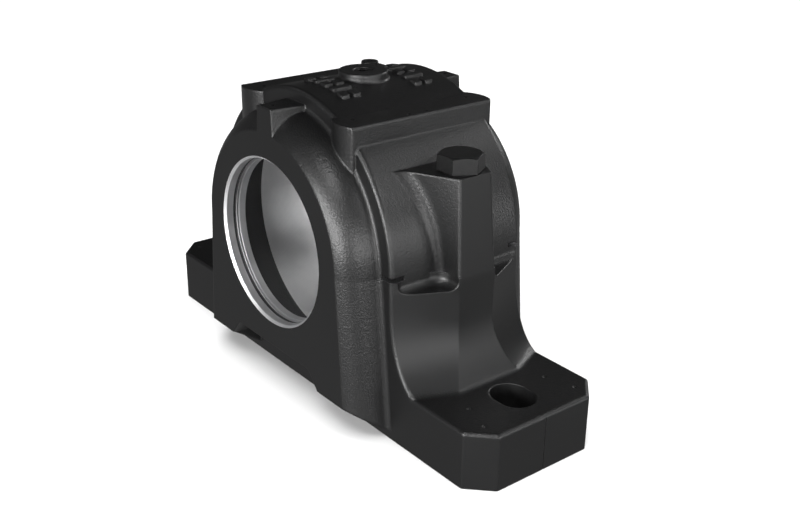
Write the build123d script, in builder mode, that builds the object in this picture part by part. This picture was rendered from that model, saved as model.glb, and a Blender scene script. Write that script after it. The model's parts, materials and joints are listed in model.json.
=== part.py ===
from build123d import *
import math
import os

os.makedirs("parts", exist_ok=True)

# ---------------------------------------------------------------------------
# Split plummer block housing for a bearing of 180 mm outside diameter.
# Frame: origin at the centre of the underside, +X from foot to foot,
# +Y along the bearing axis, +Z up. The housing is the same front and rear.
# ---------------------------------------------------------------------------

# overall sizes
length = 380.0            # foot to foot
foot_width = 110.0        # feet and base block, along the bearing axis
overall_width = 160.0     # over the two hubs, along the bearing axis
centre_height = 112.0     # underside to bearing axis, also the split plane
foot_thickness = 40.0
foot_corner = 16.0        # 45 degree corners of the feet

# foot slots
slot_spacing = 320.0
slot_length = 32.0
slot_width = 26.0

# bearing seat, chamber and shaft opening
seat_radius = 90.0
seat_half_width = 35.0
chamber_radius = 82.0
opening_radius = 58.2
inner_land_radius = 57.0

# hubs
hub_face_radius = 77.0
hub_root_radius = 91.0
hub_foot_face = 85.6      # half width of the hub face carried down to Z = 0
hub_foot_root = 102.0

# base block
block_half = 102.0        # half length at the split, front and rear faces
block_toe = 130.5         # where the front and rear edges land on the feet
pillar_half = 122.0       # half length at the split, outer faces
flare_start = 83.0        # the outer faces are upright down to here
flare_radius = 65.7
toe_radius = 5.0          # hollow where the outer faces meet the feet
apex_half_width = 14.4    # outer faces, half width where the flare starts
corner_round = 3.0

# cap
shell_radius = 103.0
shell_edge = 3.0
pad_top = 204.5
pad_outer = 66.0
pad_half = 57.3           # half length at the outer face, past the shell's faces
nose_top = 206.5
boss_top = 176.0
boss_outer = 122.0        # outer face of the bolt bosses at the split
boss_outer_top = 116.8
boss_half_width = 15.4    # at the split
boss_half_width_top = 12.8
boss_hollow = 5.0          # radius of the hollow corners at the split
boss_hollow_top = 16.0
crown_boss_top = 220.0
crown_boss_radius = 17.0
crown_boss_root = 2.0
block_height = 2.0        # raised blocks, above the round shell
notch_height = 2.8        # lifting notches at the four corners of the joint

# cap bolts, M18, hexagon head
bolt_x = 102.3
bolt_radius = 9.0
bolt_head_af = 27.0
bolt_head_height = 10.8
bolt_washer_face = 0.8
bolt_length = 92.0
bolt_clear_radius = 10.0

# dowel pins
pin_x = 97.0
pin_y = 29.0
pin_radius = 3.0
pin_length = 20.0

# screw plugs
plug_radius = 6.55
plug_length = 11.0
side_plug_x = -30.0
side_plug_y = 28.0
side_plug_seat = 211.5
side_plug_head = 6.2
side_plug_stem = 4.0

half_body = foot_width / 2
half_total = overall_width / 2

# ---------------------------------------------------------------------------
# Turned inside of both castings: chamfered mouth, seal grooves, cast chamber,
# bearing seat
# ---------------------------------------------------------------------------
zc = centre_height
with BuildPart() as inside:
    with BuildSketch(Plane.YZ) as inside_profile:
        with BuildLine():
            Polyline(
                (-half_total - 1.0, zc),
                (-half_total - 1.0, zc + opening_radius + 2.6),
                (-half_total + 1.6, zc + opening_radius),
                (-73.2, zc + opening_radius),
                (-73.2, zc + opening_radius + 2.4),
                (-71.2, zc + opening_radius + 2.4),
                (-70.4, zc + opening_radius + 0.4),
                (-69.9, zc + opening_radius + 0.4),
                (-69.9, zc + opening_radius + 1.6),
                (-69.0, zc + opening_radius + 1.6),
                (-69.0, zc + inner_land_radius),
                (-63.8, zc + inner_land_radius),
                (-63.8, zc + inner_land_radius + 14.0),
                (-58.0, zc + chamber_radius - 3.5),
                (-52.0, zc + chamber_radius),
                (-seat_half_width, zc + chamber_radius),
                (-seat_half_width, zc + seat_radius),
                (0, zc + seat_radius),
                (0, zc),
                close=True,
            )
        make_face()
        mirror(about=Plane.YZ)
    revolve(axis=Axis((0, 0, zc), (0, 1, 0)), revolution_arc=360)

# ---------------------------------------------------------------------------
# Base casting
# ---------------------------------------------------------------------------


def front_profile(z):
    """Half length of the front and rear faces of the block at height z."""
    if z >= 92.0:
        return block_half + 0.6 * (centre_height - z) / 20.0
    pts = ((block_half + 0.6, 92.0), (block_half + 1.4, 66.0),
           (block_toe - 17.0, 41.5), (block_toe, 38.6))
    low, high = 0.0, 1.0
    for _ in range(50):
        t = (low + high) / 2
        w = ((1 - t) ** 3, 3 * (1 - t) ** 2 * t, 3 * (1 - t) * t * t, t**3)
        if sum(k * q[1] for k, q in zip(w, pts)) > z:
            low = t
        else:
            high = t
    return sum(k * q[0] for k, q in zip(w, pts))


def outer_profile(z):
    """Half length of the outer faces of the block at height z."""
    if z >= flare_start:
        return pillar_half
    cx = pillar_half + flare_radius
    toe_z = foot_thickness + toe_radius
    toe_x = cx - math.sqrt((flare_radius - toe_radius) ** 2 - (flare_start - toe_z) ** 2)
    meet = flare_start + (toe_z - flare_start) * flare_radius / (flare_radius - toe_radius)
    if z >= meet:
        return cx - math.sqrt(flare_radius**2 - (flare_start - z) ** 2)
    return toe_x - math.sqrt(toe_radius**2 - (toe_z - z) ** 2)


def block_plan(z):
    """Plan of the block at height z: slanted corner faces, rounded edges."""
    c, p = front_profile(z), outer_profile(z)
    w = apex_half_width + 0.735 * (p - pillar_half)
    w += max(0.0, z - flare_start) / (centre_height - flare_start)
    size = math.hypot(p - c, half_body - w)
    ux, uy = (p - c) / size, (half_body - w) / size
    # the slanted faces run 2 mm past the front face, the outer edges are rounded
    a0 = (c - ux * 2.0 / uy, half_body + 2.0)
    small = 1.0
    trim = small * math.tan(math.acos(uy) / 2)
    b0 = (p - trim * ux, w + trim * uy)
    b1 = (p, w - trim)
    mx, my = uy + 1.0, ux
    k = small / math.hypot(mx, my)
    bm = (p - small + mx * k, w - trim + my * k)

    def q(pt, sx, sy):
        return (sx * pt[0], sy * pt[1])

    with BuildSketch(Plane.XY.offset(z)) as plan:
        with BuildLine():
            for sx, sy in ((1, 1), (1, -1), (-1, -1), (-1, 1)):
                Line(q(a0, sx, sy), q(b0, sx, sy))
                ThreePointArc(q(b0, sx, sy), q(bm, sx, sy), q(b1, sx, sy))
            Line(q(b1, 1, 1), q(b1, 1, -1))
            Line(q(a0, 1, -1), q(a0, -1, -1))
            Line(q(b1, -1, -1), q(b1, -1, 1))
            Line(q(a0, -1, 1), q(a0, 1, 1))
        make_face()
    return plan.sketch


def hub_section(plane, face_x, root_x):
    """Plan of both hubs at one height, with domed sides."""
    turn = 2 * math.atan2(root_x - face_x, half_total - half_body)
    r = (half_total - half_body) / math.sin(turn)
    mx = root_x - r + r * math.cos(turn / 2)
    my = half_body + r * math.sin(turn / 2)
    with BuildSketch(plane) as section:
        with BuildLine():
            Line((-face_x, -half_total), (face_x, -half_total))
            ThreePointArc((face_x, -half_total), (mx, -my), (root_x, -half_body))
            Line((root_x, -half_body), (root_x, half_body))
            ThreePointArc((root_x, half_body), (mx, my), (face_x, half_total))
            Line((face_x, half_total), (-face_x, half_total))
            ThreePointArc((-face_x, half_total), (-mx, my), (-root_x, half_body))
            Line((-root_x, half_body), (-root_x, -half_body))
            ThreePointArc((-root_x, -half_body), (-mx, -my), (-face_x, -half_total))
        make_face()
    return section.sketch


block_plans = [block_plan(z) for z in
               (112.0, 104.0, 96.0, 89.0, 83.0, 77.0, 71.0, 65.0, 59.5, 54.0, 49.0, 45.0,
                42.5, 41.0, 40.3, 40.0)]
hub_low = hub_section(Plane.XY, hub_foot_face, hub_foot_root)
hub_high = hub_section(Plane.XY.offset(centre_height), hub_face_radius, hub_root_radius)

with BuildPart() as hubs:
    loft(sections=[hub_low, hub_high], ruled=True)
    # sloping underside of each hub
    with BuildSketch(Plane.YZ):
        with BuildLine():
            Polyline(
                (-half_body, -1), (-half_body, 5.5), (-half_total - 1, 22.8),
                (-half_total - 1, -1), close=True,
            )
        make_face()
        mirror(about=Plane.YZ)
    extrude(amount=130, both=True, mode=Mode.SUBTRACT)
    # arched recess under each hub
    with BuildSketch(Plane.XZ) as arch:
        with BuildLine():
            Polyline(
                (-57, -1), (-57, 20), (-45, 34.5), (45, 34.5), (57, 20), (57, -1), close=True
            )
        make_face()
        fillet(arch.vertices().group_by(Axis.Y)[-1], 7)
    extrude(amount=half_total + 1, both=True, mode=Mode.SUBTRACT)

# pockets in the slanted corner faces, under the split and outside the cap
pocket_floor = centre_height - 8.2
with BuildPart() as dishes:
    with Locations((shell_radius + 15, -(boss_half_width + 54.0) / 2, pocket_floor + 6)):
        Box(30, 54.0 - boss_half_width, 12)
    corner = dishes.edges().filter_by(Axis.Z).filter_by(lambda e: e.center().X < shell_radius + 1)
    fillet(corner.sort_by(Axis.Y)[-1], 10.0)
    fillet(dishes.edges().filter_by(Axis.Z).filter_by(
        lambda e: e.center().X < shell_radius + 0.1 and e.center().Y < -50), 7.0)
    fillet(dishes.edges().filter_by(
        lambda e: abs(e.center().Z - pocket_floor) < 0.05 and e.center().X < shell_radius + 28), 5.5)
    mirror(about=Plane.XZ)
    mirror(about=Plane.YZ)

with BuildPart() as pockets:
    with BuildSketch(Plane.XZ):
        with BuildLine():
            Polyline((54, -1), (54, 64), (100, 64), (116, 26), (118, -1), close=True)
        make_face()
        mirror(about=Plane.YZ)
    extrude(amount=40, both=True)
    fillet(pockets.edges().filter_by(Axis.Z), 8)
    with Locations(Location((0, 0, centre_height), (90, 0, 0))):
        Cylinder(seat_radius + 13.0, 100, mode=Mode.SUBTRACT)

with BuildPart() as block:
    loft(sections=block_plans)
    with Locations((0, 0, 75)):
        Box(400, foot_width, 80, mode=Mode.INTERSECT)
    fillet(block.edges().filter_by(
        lambda e: abs(abs(e.center().Y) - half_body) < 0.2 and 95 < abs(e.center().X) < 125
        and e.center().Z > 50 and e.length > 60), corner_round)
    extrude(block.faces().sort_by(Axis.Z)[0], amount=12, dir=(0, 0, -1))

with BuildPart() as base:
    # feet
    with BuildSketch(Plane.XY) as foot_plan:
        Rectangle(length, foot_width)
        chamfer(foot_plan.vertices(), foot_corner)
    extrude(amount=foot_thickness)
    fillet(base.faces().sort_by(Axis.Z)[-1].edges(), 2.5)
    # block between the feet, its slanted corner faces sweep out on to the feet
    add(block.part)
    add(hubs.part)
    # rounded edges of the raw casting
    fillet(base.edges().filter_by(
        lambda e: abs(abs(e.center().X) - 96.2) < 1 and abs(abs(e.center().Y) - half_body) < 0.2
        and e.length > 100), 4.0)
    fillet(base.edges().filter_by(Axis.Z).filter_by(
        lambda e: abs(e.center().X) > 170 and e.length > 30), 2.0)
    fillet(base.edges().filter_by(
        lambda e: abs(abs(e.center().Y) - half_total) < 0.1 and abs(abs(e.center().X) - 80.5) < 1
        and e.length > 85), 1.5)
    add(inside.part, mode=Mode.SUBTRACT)
    add(dishes.part, mode=Mode.SUBTRACT)
    # slots in the feet
    with BuildSketch(Plane.XY.offset(-1)):
        with Locations((-slot_spacing / 2, 0), (slot_spacing / 2, 0)):
            SlotOverall(slot_length, slot_width)
    extrude(amount=foot_thickness + 2, mode=Mode.SUBTRACT)
    # lightening pockets in the underside, each side of the bearing seat
    add(pockets.part, mode=Mode.SUBTRACT)
    # drilled centre dimples on the feet, centre line on the foot ends
    with Locations(*[(sx * x, sy * y, foot_thickness) for sx in (-1, 1) for sy in (-1, 1)
                     for x, y in ((155.5, 33.3), (176.5, 39.8))]):
        CounterSinkHole(0.6, 1.4, depth=1.2)
    with Locations((-length / 2, 0, foot_thickness / 2), (length / 2, 0, foot_thickness / 2)):
        Box(0.8, 0.6, foot_thickness + 1, mode=Mode.SUBTRACT)
    # tapped holes for the cap bolts
    with Locations((bolt_x, 0, centre_height), (-bolt_x, 0, centre_height)):
        Hole(bolt_radius + 0.05, depth=38.0)
    # dowel holes, on opposite corners of the joint
    with Locations((pin_x, -pin_y, centre_height), (-pin_x, pin_y, centre_height)):
        Hole(pin_radius, depth=pin_length / 2 + 1.0)

# ---------------------------------------------------------------------------
# Cap casting
# ---------------------------------------------------------------------------


def boss_plan(z):
    """Plan of one bolt boss at height z, with hollow corners against the shell."""
    t = (z - centre_height) / (boss_top - centre_height)
    xo = boss_outer + (boss_outer_top - boss_outer) * t
    w = boss_half_width + (boss_half_width_top - boss_half_width) * t
    s = 0.5 * t
    n = math.sqrt(1 + s * s)
    xs = math.sqrt(shell_radius**2 - (z - centre_height) ** 2) - 0.12
    big = boss_hollow + (boss_hollow_top - boss_hollow) * t**1.5
    small = 1.8
    # hollow corner
    cx = xs + big
    cy = w + s * (xo - cx) + big * n
    ax, ay = cx - big * s / n, cy - big / n
    mx, my = -s / n - 1.0, -1.0 / n
    k = big / math.hypot(mx, my)
    mx, my = cx + mx * k, cy + my * k
    # rounded outer corner
    dx = xo - small
    dy = w + s * small - small * n
    bx, by = dx + small * s / n, dy + small / n
    px, py = 1.0 + s / n, 1.0 / n
    k = small / math.hypot(px, py)
    px, py = dx + px * k, dy + py * k
    with BuildSketch(Plane.XY.offset(z)) as plan:
        with BuildLine():
            Line((62, -cy), (xs, -cy))
            ThreePointArc((xs, -cy), (mx, -my), (ax, -ay))
            Line((ax, -ay), (bx, -by))
            ThreePointArc((bx, -by), (px, -py), (xo, -dy))
            Line((xo, -dy), (xo, dy))
            ThreePointArc((xo, dy), (px, py), (bx, by))
            Line((bx, by), (ax, ay))
            ThreePointArc((ax, ay), (mx, my), (xs, cy))
            Line((xs, cy), (62, cy))
            Line((62, cy), (62, -cy))
        make_face()
    return plan.sketch


boss_plans = [boss_plan(z) for z in (112.0, 122.0, 132.0, 142.0, 152.0, 160.0, 168.0, boss_top)]
with BuildPart() as bosses:
    loft(sections=boss_plans)
    mirror(about=Plane.YZ)

turn = 2 * math.atan2(hub_root_radius - hub_face_radius, half_total - half_body)
dome_r = (half_total - half_body) / math.sin(turn)
dome_mid_r = hub_root_radius - dome_r + dome_r * math.cos(turn / 2)
dome_mid_y = half_body + dome_r * math.sin(turn / 2)
dome_end_r = hub_root_radius - dome_r + math.sqrt(dome_r**2 - 3.0**2)

with BuildPart() as noses:
    with BuildSketch(Plane.XY.offset(170.0)):
        with BuildLine():
            Polyline((-10.5, -half_total), (10.5, -half_total), (14.5, -50), (-14.5, -50), close=True)
        make_face()
    with BuildSketch(Plane.XY.offset(nose_top)):
        with BuildLine():
            Polyline((-8.0, -half_total), (8.0, -half_total), (11.6, -50), (-11.6, -50), close=True)
        make_face()
    loft()
    mirror(about=Plane.XZ)

with BuildPart() as blocks:
    with Locations(*[(x, sy * y, 200.0) for sy in (-1, 1) for x in (-13.0, 6.0, 25.0)
                     for y in (25.6, 34.8)]):
        Box(6.6, 5.6, 30.0, align=(Align.CENTER, Align.CENTER, Align.MIN))
    with Locations(*[(x, sy * 30.2, 200.0) for sy in (-1, 1) for x in (-3.5, 15.5)]):
        Box(4.6, 14.8, 30.0, align=(Align.CENTER, Align.CENTER, Align.MIN))
    with Locations(Location((0, 0, centre_height), (90, 0, 0))):
        Cylinder(shell_radius + block_height, 110, mode=Mode.INTERSECT)

with BuildPart() as cap:
    with BuildSketch(Plane.YZ):
        with BuildLine():
            Line((0, zc), (-half_total, zc))
            Line((-half_total, zc), (-half_total, zc + hub_face_radius))
            ThreePointArc(
                (-half_total, zc + hub_face_radius),
                (-dome_mid_y, zc + dome_mid_r),
                (-half_body - 3.0, zc + dome_end_r),
            )
            ThreePointArc(
                (-half_body - 3.0, zc + dome_end_r),
                (-half_body - 0.8, zc + dome_end_r + 1.0),
                (-half_body, zc + hub_root_radius + 3.0),
            )
            Line((-half_body, zc + hub_root_radius + 3.0), (-half_body, zc + shell_radius - shell_edge))
            ThreePointArc(
                (-half_body, zc + shell_radius - shell_edge),
                (-half_body + shell_edge * (1 - math.sqrt(0.5)),
                 zc + shell_radius - shell_edge * (1 - math.sqrt(0.5))),
                (-half_body + shell_edge, zc + shell_radius),
            )
            Line((-half_body + shell_edge, zc + shell_radius), (0, zc + shell_radius))
            Line((0, zc + shell_radius), (0, zc))
        make_face()
        mirror(about=Plane.YZ)
    revolve(axis=Axis((0, 0, zc), (0, 1, 0)), revolution_arc=360)
    split(bisect_by=Plane.XY.offset(zc), keep=Keep.TOP)
    # bolt bosses
    add(bosses.part)
    # flat pads along both sides of the crown
    with BuildSketch(Plane.XY.offset(150.0)):
        for sx in (-1, 1):
            with BuildLine():
                ThreePointArc((sx * 36, -50), (sx * 56, -60.2), (sx * pad_outer, -pad_half))
                Line((sx * pad_outer, -pad_half), (sx * pad_outer, pad_half))
                ThreePointArc((sx * pad_outer, pad_half), (sx * 56, 60.2), (sx * 36, 50))
                Line((sx * 36, 50), (sx * 36, -50))
            make_face()
    extrude(amount=pad_top - 150.0)
    add(noses.part)
    # rounded edges of the raw casting
    fillet(
        cap.edges().filter_by(lambda e: abs(abs(e.center().X) - pad_outer) < 0.3
                              and abs(e.center().Z - pad_top) < 0.1), 1.5)
    fillet(
        cap.edges().filter_by(lambda e: abs(abs(e.center().Y) - half_total) < 0.1
                              and e.geom_type == GeomType.CIRCLE), 1.5)
    fillet(
        cap.edges().filter_by(lambda e: abs(e.center().Z - nose_top) < 0.1
                              and abs(e.center().X) < 14 and abs(e.center().Y) > 56), 1.2)
    # round boss on the crown for the screw plug, spot face for the side plug
    with Locations((0, 0, 205.0)):
        Cylinder(crown_boss_radius, crown_boss_top - 205.0, align=(Align.CENTER, Align.CENTER, Align.MIN))
    fillet(
        cap.edges().filter_by(lambda e: all(
            abs(math.hypot(q.X, q.Y) - crown_boss_radius) < 0.05 and 212 < q.Z < 217
            for q in (e @ 0, e @ 0.3, e @ 1))), crown_boss_root)
    with Locations((side_plug_x, side_plug_y, 203.0)):
        Cylinder(8.5, side_plug_seat - 203.0, align=(Align.CENTER, Align.CENTER, Align.MIN))
    with Locations((side_plug_x, side_plug_y, side_plug_seat)):
        Cylinder(8.5, 4.0, align=(Align.CENTER, Align.CENTER, Align.MIN), mode=Mode.SUBTRACT)
    fillet(
        cap.edges().filter_by(GeomType.CIRCLE).filter_by(
            lambda e: abs(e.center().Z - crown_boss_top) < 0.1 and e.radius > 15), 1.0)
    # plain raised blocks in two rows on the crown
    add(blocks.part)
    # lifting notches at the corners of the joint
    with Locations(*[(sx * 102.8, sy * 50.8, centre_height) for sx in (-1, 1) for sy in (-1, 1)]):
        Box(20.0, 12.4, 2 * notch_height, mode=Mode.SUBTRACT)
    add(inside.part, mode=Mode.SUBTRACT)
    # clearance holes for the cap bolts
    with Locations((bolt_x, 0, boss_top), (-bolt_x, 0, boss_top)):
        Hole(bolt_clear_radius, depth=boss_top - centre_height + 1.0)
    # dowel holes
    with Locations((pin_x, -pin_y, centre_height), (-pin_x, pin_y, centre_height)):
        Cylinder(pin_radius + 0.05, pin_length / 2 + 1.0,
                 align=(Align.CENTER, Align.CENTER, Align.MIN), mode=Mode.SUBTRACT)
    # threaded holes for the plugs
    with Locations((0, 0, crown_boss_top)):
        Hole(plug_radius + 0.05, depth=22.0)
    with Locations((0, 0, crown_boss_top - 0.9)):
        Cone(plug_radius, 7.5, 1.0, align=(Align.CENTER, Align.CENTER, Align.MIN),
             mode=Mode.SUBTRACT)
    with Locations((side_plug_x, side_plug_y, side_plug_seat)):
        Hole(side_plug_stem + 0.05, depth=24.0)
    # drilled centre dimples on the pads and noses
    dimples = [(sx * 52.0, sy * 47.0, pad_top) for sx in (-1, 1) for sy in (-1, 1)]
    dimples += [(0.0, sy * 73.0, nose_top) for sy in (-1, 1)]
    dimples += [(sx * x, y, pad_top) for sx in (-1, 1) for x, y in ((62.0, -10.0), (62.6, 4.0))]
    with Locations(*dimples):
        CounterSinkHole(0.6, 1.4, depth=1.2)

# ---------------------------------------------------------------------------
# Cap bolts, dowel pins, screw plugs
# ---------------------------------------------------------------------------


def cap_bolt(name, x):
    head = boss_top + bolt_washer_face
    top = head + bolt_head_height
    with BuildPart() as bolt:
        with BuildSketch(Plane.XY.offset(head)):
            with Locations((x, 0)):
                RegularPolygon(bolt_head_af / 2, 6, major_radius=False)
        extrude(amount=bolt_head_height)
        # chamfered crown of the head
        with BuildSketch(Plane(origin=(x, 0, 0), x_dir=(1, 0, 0), z_dir=(0, -1, 0))):
            with BuildLine():
                Polyline(
                    (0, head - 1), (20, head - 1), (20, top - 3.2),
                    (bolt_head_af / 2 - 0.6, top), (0, top), close=True,
                )
            make_face()
        revolve(axis=Axis((x, 0, 0), (0, 0, 1)), mode=Mode.INTERSECT)
        with Locations((x, 0, boss_top)):
            Cylinder(bolt_head_af / 2 - 0.8, bolt_washer_face + 0.4,
                     align=(Align.CENTER, Align.CENTER, Align.MIN))
        with Locations((x, 0, boss_top - bolt_length)):
            Cylinder(bolt_radius, bolt_length + 1.0, align=(Align.CENTER, Align.CENTER, Align.MIN))
        chamfer(bolt.faces().sort_by(Axis.Z)[0].edges(), 1.5)
    bolt.part.label = name
    return bolt.part


bolt_right = cap_bolt("cap_bolt_right", bolt_x)
bolt_left = cap_bolt("cap_bolt_left", -bolt_x)


def dowel(name, x, y):
    with BuildPart() as pin:
        with Locations((x, y, centre_height)):
            Cylinder(pin_radius, pin_length)
        chamfer(pin.edges().filter_by(GeomType.CIRCLE), 0.6)
    pin.part.label = name
    return pin.part


pin_right = dowel("dowel_pin_right", pin_x, -pin_y)
pin_left = dowel("dowel_pin_left", -pin_x, pin_y)

with BuildPart() as crown_plug:
    with Locations((0, 0, crown_boss_top - 0.6)):
        Cylinder(plug_radius, plug_length, align=(Align.CENTER, Align.CENTER, Align.MAX))
    chamfer(crown_plug.edges().filter_by(GeomType.CIRCLE), 0.5)
    with BuildSketch(Plane.XY.offset(crown_boss_top - 0.6)):
        RegularPolygon(3.5, 6, major_radius=False)
    extrude(amount=-5.5, mode=Mode.SUBTRACT)
crown_plug.part.label = "crown_plug"

with BuildPart() as side_plug:
    with Locations((side_plug_x, side_plug_y, side_plug_seat)):
        Cylinder(side_plug_head, 5.0, align=(Align.CENTER, Align.CENTER, Align.MIN))
    fillet(side_plug.edges().filter_by(GeomType.CIRCLE).sort_by(Axis.Z)[-1], 0.8)
    with Locations((side_plug_x, side_plug_y, side_plug_seat)):
        Cylinder(side_plug_stem, 10.0, align=(Align.CENTER, Align.CENTER, Align.MAX))
    with BuildSketch(Plane.XY.offset(side_plug_seat + 5.0)):
        with Locations((side_plug_x, side_plug_y)):
            RegularPolygon(2.5, 6, major_radius=False)
    extrude(amount=-3.5, mode=Mode.SUBTRACT)
side_plug.part.label = "side_plug"

base.part.label = "base"
cap.part.label = "cap"
for piece in (base.part, cap.part, bolt_right, bolt_left, pin_right, pin_left,
              crown_plug.part, side_plug.part):
    export_step(piece, "parts/" + piece.label + ".step")
    print(piece.label, piece.is_valid, round(piece.volume, 1), len(piece.solids()))
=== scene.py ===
import json
import math

import bpy
from mathutils import Matrix, Vector


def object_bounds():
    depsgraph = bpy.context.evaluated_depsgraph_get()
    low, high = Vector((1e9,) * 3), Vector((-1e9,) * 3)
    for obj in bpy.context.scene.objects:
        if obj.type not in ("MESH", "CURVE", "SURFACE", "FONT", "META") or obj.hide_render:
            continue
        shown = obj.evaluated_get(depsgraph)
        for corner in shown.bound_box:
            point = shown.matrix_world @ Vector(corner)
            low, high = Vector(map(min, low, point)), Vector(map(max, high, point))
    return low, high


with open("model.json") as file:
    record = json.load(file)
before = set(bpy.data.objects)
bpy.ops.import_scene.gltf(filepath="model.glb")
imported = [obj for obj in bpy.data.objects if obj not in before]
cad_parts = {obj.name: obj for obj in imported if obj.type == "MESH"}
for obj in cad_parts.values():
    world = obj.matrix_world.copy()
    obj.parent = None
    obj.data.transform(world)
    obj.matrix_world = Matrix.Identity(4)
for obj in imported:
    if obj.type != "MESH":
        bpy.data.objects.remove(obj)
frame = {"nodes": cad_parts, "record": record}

box0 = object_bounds()
lo, hi = box0
D = bpy.data
scene = bpy.context.scene


# ---------------------------------------------------------------- helpers
def new_material(name):
    m = D.materials.new(name)
    m.use_nodes = True
    nt = m.node_tree
    nt.nodes.clear()
    out = nt.nodes.new("ShaderNodeOutputMaterial")
    b = nt.nodes.new("ShaderNodeBsdfPrincipled")
    nt.links.new(b.outputs["BSDF"], out.inputs["Surface"])
    return m, nt, b


def node(nt, kind, **values):
    n = nt.nodes.new(kind)
    for k, v in values.items():
        if k in n.inputs:
            n.inputs[k].default_value = v
        else:
            setattr(n, k, v)
    return n


def ramp(nt, source, stops):
    r = nt.nodes.new("ShaderNodeValToRGB")
    els = r.color_ramp.elements
    while len(els) < len(stops):
        els.new(0.5)
    for e, (p, c) in zip(els, stops):
        e.position = p
        e.color = c if len(c) == 4 else (*c, 1.0)
    nt.links.new(source, r.inputs["Fac"])
    return r


def coords(nt, scale=(1.0, 1.0, 1.0)):
    tc = nt.nodes.new("ShaderNodeTexCoord")
    mp = nt.nodes.new("ShaderNodeMapping")
    mp.inputs["Scale"].default_value = scale
    nt.links.new(tc.outputs["Object"], mp.inputs["Vector"])
    return mp.outputs["Vector"]


def noise(nt, vec, scale, detail=3.0, rough=0.5):
    n = nt.nodes.new("ShaderNodeTexNoise")
    n.inputs["Scale"].default_value = scale
    n.inputs["Detail"].default_value = detail
    n.inputs["Roughness"].default_value = rough
    nt.links.new(vec, n.inputs["Vector"])
    return n.outputs["Fac"]


def math_node(nt, op, a, b=None, clamp=False):
    n = nt.nodes.new("ShaderNodeMath")
    n.operation = op
    n.use_clamp = clamp
    for i, v in enumerate((a, b)):
        if v is None:
            continue
        if isinstance(v, (int, float)):
            n.inputs[i].default_value = v
        else:
            nt.links.new(v, n.inputs[i])
    return n.outputs[0]


def bump(nt, height, distance, strength=1.0, normal=None):
    n = nt.nodes.new("ShaderNodeBump")
    n.inputs["Strength"].default_value = strength
    n.inputs["Distance"].default_value = distance
    nt.links.new(height, n.inputs["Height"])
    if normal is not None:
        nt.links.new(normal, n.inputs["Normal"])
    return n.outputs["Normal"]


def rounded(nt, radius, joint=None):
    """Soft edges in the shading; none across the joint plane, whose two faces meet tight."""
    n = nt.nodes.new("ShaderNodeBevel")
    n.samples = 8
    n.inputs["Radius"].default_value = radius
    if joint is not None:
        tc = nt.nodes.new("ShaderNodeTexCoord")
        sep = nt.nodes.new("ShaderNodeSeparateXYZ")
        nt.links.new(tc.outputs["Object"], sep.inputs[0])
        gap = math_node(nt, "ABSOLUTE", math_node(nt, "SUBTRACT", sep.outputs[2], joint))
        near = math_node(nt, "MULTIPLY", gap, 0.9)
        nt.links.new(math_node(nt, "MINIMUM", near, radius), n.inputs["Radius"])
    return n.outputs["Normal"]


# ---------------------------------------------------------------- materials
def cast_paint(name, tone, rough, grain=0.00012, edge=0.0022, grit_depth=0.00020, coat=0.32):
    """Satin dark paint over a sand casting: orange peel, fine grain, slight wear of the gloss."""
    m, nt, b = new_material(name)
    v = coords(nt)
    peel = noise(nt, v, 440.0, 3.0, 0.55)
    grit = noise(nt, v, 860.0, 2.0, 0.6)
    flow = noise(nt, coords(nt, (1.0, 1.0, 0.30)), 260.0, 2.0, 0.5)
    cloud = noise(nt, v, 14.0, 3.0, 0.5)
    r = ramp(nt, cloud, [(0.30, [c * 0.86 for c in tone]), (0.72, [c * 1.14 for c in tone])])
    nt.links.new(r.outputs["Color"], b.inputs["Base Color"])
    rr = math_node(nt, "MULTIPLY_ADD", cloud, 0.10)
    rr.node.inputs[2].default_value = rough - 0.05
    nt.links.new(rr, b.inputs["Roughness"])
    n1 = bump(nt, flow, grain * 0.5, 1.0, rounded(nt, edge, 0.112))
    n2 = bump(nt, peel, grain * 0.75, 1.0, n1)
    n3 = bump(nt, grit, grit_depth, 1.0, n2)
    b.inputs["Coat Weight"].default_value = coat
    b.inputs["Coat Roughness"].default_value = 0.20
    nt.links.new(n3, b.inputs["Coat Normal"])
    nt.links.new(n3, b.inputs["Normal"])
    b.inputs["Specular IOR Level"].default_value = 0.5
    return m


def turned(name, tone, rough, pitch, edge=0.0004, metallic=1.0):
    """Machined face turned about the bearing axis: fine rings, a little patchy."""
    m, nt, b = new_material(name)
    tc = nt.nodes.new("ShaderNodeTexCoord")
    sep = nt.nodes.new("ShaderNodeSeparateXYZ")
    nt.links.new(tc.outputs["Object"], sep.inputs[0])
    x, y, z = sep.outputs
    dz = math_node(nt, "SUBTRACT", z, 0.112)
    r2 = math_node(nt, "ADD", math_node(nt, "MULTIPLY", x, x), math_node(nt, "MULTIPLY", dz, dz))
    rad = math_node(nt, "SQRT", r2)
    along = math_node(nt, "ADD", rad, y)
    ring = math_node(nt, "SINE", math_node(nt, "MULTIPLY", along, 2 * math.pi / pitch))
    v = coords(nt)
    patch = noise(nt, v, 90.0, 3.0, 0.55)
    both = math_node(nt, "MULTIPLY_ADD", ring, 0.28)
    nt.links.new(patch, both.node.inputs[2])
    c = ramp(nt, both, [(0.1, [t * 0.90 for t in tone]), (0.9, [min(0.97, t * 1.08) for t in tone])])
    nt.links.new(c.outputs["Color"], b.inputs["Base Color"])
    rr = math_node(nt, "MULTIPLY_ADD", patch, 0.16)
    rr.node.inputs[2].default_value = rough - 0.08
    nt.links.new(rr, b.inputs["Roughness"])
    n = bump(nt, ring, 0.000012, 0.8, rounded(nt, edge))
    nt.links.new(n, b.inputs["Normal"])
    b.inputs["Metallic"].default_value = metallic
    return m


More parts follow.
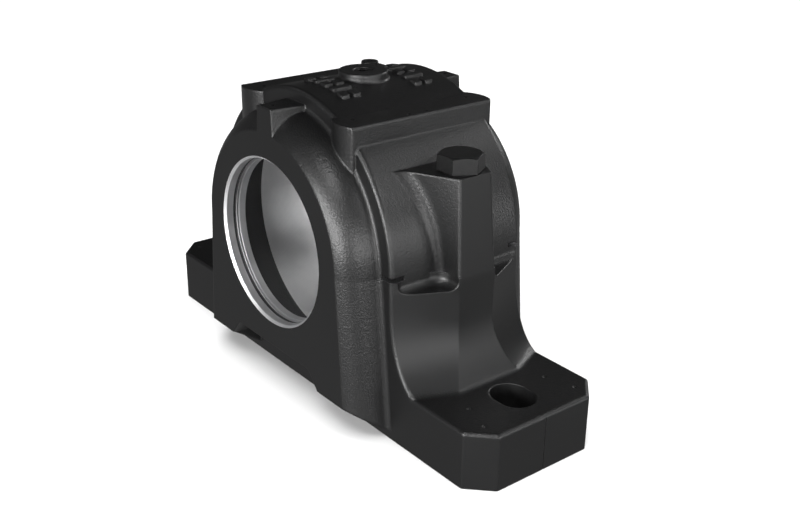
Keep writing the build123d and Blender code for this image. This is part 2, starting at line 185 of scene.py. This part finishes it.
def oxide_steel(name, tone, rough, edge=0.0006, metallic=0.6):
    """Black oxide steel: faint mottling and fine scratches."""
    m, nt, b = new_material(name)
    v = coords(nt)
    mot = noise(nt, v, 420.0, 3.0, 0.6)
    scr = noise(nt, coords(nt, (1.0, 1.0, 14.0)), 160.0, 2.0, 0.5)
    c = ramp(nt, mot, [(0.3, [t * 0.8 for t in tone]), (0.75, [t * 1.25 for t in tone])])
    nt.links.new(c.outputs["Color"], b.inputs["Base Color"])
    rr = math_node(nt, "MULTIPLY_ADD", scr, 0.14)
    rr.node.inputs[2].default_value = rough - 0.07
    nt.links.new(rr, b.inputs["Roughness"])
    n = bump(nt, mot, 0.00002, 0.7, rounded(nt, edge))
    nt.links.new(n, b.inputs["Normal"])
    b.inputs["Metallic"].default_value = metallic
    return m


PAINT = cast_paint("painted_casting", (0.0034, 0.0034, 0.0036), 0.46)
SMOOTH = cast_paint("painted_flat_face", (0.0034, 0.0034, 0.0036), 0.46, grain=0.00002, edge=0.0010, grit_depth=0.000006, coat=0.0)
BOLT = oxide_steel("bolt_steel", (0.012, 0.012, 0.012), 0.42, metallic=0.3)
PLUG = oxide_steel("plug_steel", (0.010, 0.010, 0.010), 0.42, metallic=0.3)
PIN = oxide_steel("pin_steel", (0.48, 0.48, 0.49), 0.30, metallic=1.0)
SEAT = turned("turned_seat", (0.93, 0.93, 0.94), 0.48, 0.0011)
LAND = turned("turned_land", (0.70, 0.70, 0.71), 0.46, 0.0007)
MOUTH = turned("turned_mouth", (0.88, 0.88, 0.89), 0.50, 0.0007)
# Dark paint for the cast chamber wall, also laid on the seal groove walls as painted shade.
CHAMBER_PAINT_AND_GROOVE_SHADE = cast_paint("chamber_paint_and_groove_shade", (0.040, 0.040, 0.041), 0.55, coat=0.0)
JOINT = turned("milled_joint", (0.34, 0.34, 0.35), 0.42, 0.0016)

for n, o in frame["nodes"].items():
    slot = next(s["material_slot"] for s in frame["record"]["subparts"] if s["node"] == n)
    main = {"painted_casting": PAINT, "bolt_steel": BOLT, "pin_steel": PIN, "plug_steel": PLUG}[slot]
    o.data.materials.clear()
    o.data.materials.append(main)
    if n in ("base", "cap"):
        for m in (SEAT, LAND, MOUTH, JOINT, SMOOTH, CHAMBER_PAINT_AND_GROOVE_SHADE):
            o.data.materials.append(m)
        for p in o.data.polygons:
            c, k = p.center, 0
            nrm = p.normal
            r = math.hypot(c.x, c.z - 0.112)
            y = abs(c.y)
            inner = nrm.x * c.x + nrm.z * (c.z - 0.112) < -1e-6 * r or abs(nrm.y) > 0.9
            if y < 0.0352 and 0.0815 < r < 0.0903 and inner:
                k = 1
            elif y > 0.0637 and r < 0.0614 and inner:
                k = 2
            elif y < 0.0639 and 0.050 < r < 0.0826 and nrm.x * c.x + nrm.z * (c.z - 0.112) < 1e-6:
                k = 6
            # Seal groove walls in the turned land take the dark chamber paint: painted shade, so the
            # grooves read as dark lines.
            if 0.0688 < y < 0.0734 and r < 0.0612 and (
                (r > 0.0589 and abs(nrm.y) < 0.3) or (y > 0.0695 and abs(nrm.y) > 0.9)
            ):
                k = 6
            if y > 0.0783 and r < 0.0612 and abs(nrm.y) > 0.3 and abs(nrm.y) < 0.97:
                k = 3
            if abs(c.z - 0.112) < 2e-5 and abs(nrm.z) > 0.999:
                k = 4
            if k == 0 and (
                (abs(nrm.y) > 0.995 and (abs(y - 0.08) < 1e-4 or abs(y - 0.055) < 1e-4))
                or (n == "base" and abs(nrm.z) < 0.01 and c.z < 0.0376 and abs(c.x) > 0.131)
                or (n == "base" and abs(c.x) > 0.1035 and 0.0425 < c.z < 0.1121 and r > 0.1035
                    and y < 0.0535 and abs(nrm.x) > 0.6)
                or (n == "cap" and abs(c.x) > 0.1160 and abs(nrm.x) > 0.97 and y < 0.0150)
            ):
                k = 5
            p.material_index = k

# ---------------------------------------------------------------- camera
def axes(az, el, roll):
    a, e, r = (math.radians(v) for v in (az, el, roll))
    back = Vector((math.sin(a) * math.cos(e), -math.cos(a) * math.cos(e), math.sin(e)))
    right = Vector((math.cos(a), math.sin(a), 0.0))
    up = back.cross(right)
    c, s = math.cos(r), math.sin(r)
    return right * c + up * s, right * -s + up * c, back


cx, cy, cz = axes(51.3042, 23.423, 0.7804)
cam = D.objects.new("camera", D.cameras.new("camera"))
scene.collection.objects.link(cam)
cam.data.lens = 49.061
cam.data.sensor_width = 36.0
cam.data.sensor_fit = "HORIZONTAL"
cam.data.clip_start, cam.data.clip_end = 0.01, 60.0
place = Matrix((cx, cy, cz)).transposed().to_4x4()
place.translation = Vector((0.586949, -0.436064, 0.395711))
cam.matrix_world = place
scene.camera = cam

# ---------------------------------------------------------------- floor and light
bm_floor = D.meshes.new("floor")
s = 12.0
bm_floor.from_pydata([(-s, -s, 0), (s, -s, 0), (s, s, 0), (-s, s, 0)], [], [(0, 1, 2, 3)])
floor = D.objects.new("floor", bm_floor)
floor.location.z = lo.z - 0.0004
scene.collection.objects.link(floor)
m, nt, b = new_material("floor")
v = coords(nt)
c = ramp(nt, noise(nt, v, 3.0, 2.0), [(0.2, (0.80, 0.80, 0.80)), (0.8, (0.83, 0.83, 0.83))])
nt.links.new(c.outputs["Color"], b.inputs["Base Color"])
b.inputs["Roughness"].default_value = 0.9
b.inputs["Specular IOR Level"].default_value = 0.1
floor.data.materials.append(m)


rings = [(0.0, -0.2), (12.0, -0.2), (12.0, 6.0), (9.0, 9.0), (0.0, 11.0)]
verts, faces = [], []
for r, h in rings[1:-1]:
    for i in range(48):
        t = 2 * math.pi * i / 48
        verts.append((r * math.cos(t), r * math.sin(t), h))
verts.append((0.0, 0.0, rings[-1][1]))
for k in range(2):
    for i in range(48):
        j = (i + 1) % 48
        faces.append((k * 48 + i, k * 48 + j, k * 48 + 48 + j, k * 48 + 48 + i))
faces += [(96 + i, 96 + (i + 1) % 48, 144) for i in range(48)]
bm_wall = D.meshes.new("backdrop")
bm_wall.from_pydata(verts, [], faces)
wall = D.objects.new("backdrop", bm_wall)
scene.collection.objects.link(wall)
m, nt, b = new_material("backdrop")
c = ramp(nt, noise(nt, coords(nt), 0.4, 2.0), [(0.2, (0.93, 0.93, 0.93)), (0.8, (0.95, 0.95, 0.95))])
nt.links.new(c.outputs["Color"], b.inputs["Emission Color"])
b.inputs["Emission Strength"].default_value = 1.0
b.inputs["Base Color"].default_value = (0.0, 0.0, 0.0, 1.0)
wall.data.materials.append(m)
wall.visible_diffuse = False
wall.visible_glossy = False
wall.visible_transmission = False
wall.visible_shadow = False


def area(name, az, el, dist, size, power, target=(0, 0, 0.11), size_y=None):
    a, e = math.radians(az), math.radians(el)
    back = Vector((math.sin(a) * math.cos(e), -math.cos(a) * math.cos(e), math.sin(e)))
    light = D.lights.new(name, "AREA")
    light.shape = "RECTANGLE"
    light.size = size
    light.size_y = size_y or size
    light.energy = power
    o = D.objects.new(name, light)
    o.location = Vector(target) + back * dist
    o.rotation_mode = "QUATERNION"
    o.rotation_quaternion = (-back).to_track_quat("-Z", "Y")
    o.visible_camera = False
    scene.collection.objects.link(o)
    return o


for name, az, el, power in (
    ("key_low", 28.0, 4.0, 15.0),
    ("key_mid", 32.0, 20.0, 1.5),
    ("key_high", 38.0, 52.0, 7.0),
    ("left_low", 6.0, 14.0, 17.0),
    ("left_rim", -66.0, 38.0, 0.6),
    ("side_low", 70.0, 4.0, 6.6),
    ("side_low_2", 95.0, 4.0, 4.9),
    ("right_low", 120.0, 4.0, 3.5),
    ("right_high", 115.0, 34.0, 4.4),
    ("back_high", 150.0, 45.0, 1.5),
    ("back", 180.0, 24.0, 5.0),
    ("back_left", 224.0, 34.0, 0.08),
):
    area(name, az, el, 1.6, 0.5, power)
sun = D.lights.new("floor_lamp", "SUN")
sun.energy = 3.7
sun.angle = math.radians(80.0)
sweep = D.objects.new("floor_lamp", sun)
sweep.location = (0.0, 0.0, 3.5)
scene.collection.objects.link(sweep)
only_floor = D.collections.new("floor_only")
only_floor.objects.link(floor)
sweep.light_linking.receiver_collection = only_floor
floor.visible_diffuse = False
floor.visible_glossy = False

world = D.worlds.new("studio")
scene.world = world
world.use_nodes = True
nt = world.node_tree
nt.nodes.clear()
wo = nt.nodes.new("ShaderNodeOutputWorld")
bg = nt.nodes.new("ShaderNodeBackground")
tc = nt.nodes.new("ShaderNodeTexCoord")
sep = nt.nodes.new("ShaderNodeSeparateXYZ")
nt.links.new(tc.outputs["Generated"], sep.inputs[0])
level = math_node(nt, "MULTIPLY_ADD", sep.outputs[2], 0.5)
level.node.inputs[2].default_value = 0.5
sky = ramp(nt, level, [(0.38, (0.27,) * 3), (0.46, (0.10,) * 3), (0.58, (0.05,) * 3), (0.70, (0.01,) * 3)])
nt.links.new(sky.outputs["Color"], bg.inputs["Color"])
bg.inputs["Strength"].default_value = 1.0
nt.links.new(bg.outputs["Background"], wo.inputs["Surface"])

scene.view_settings.view_transform = "Standard"
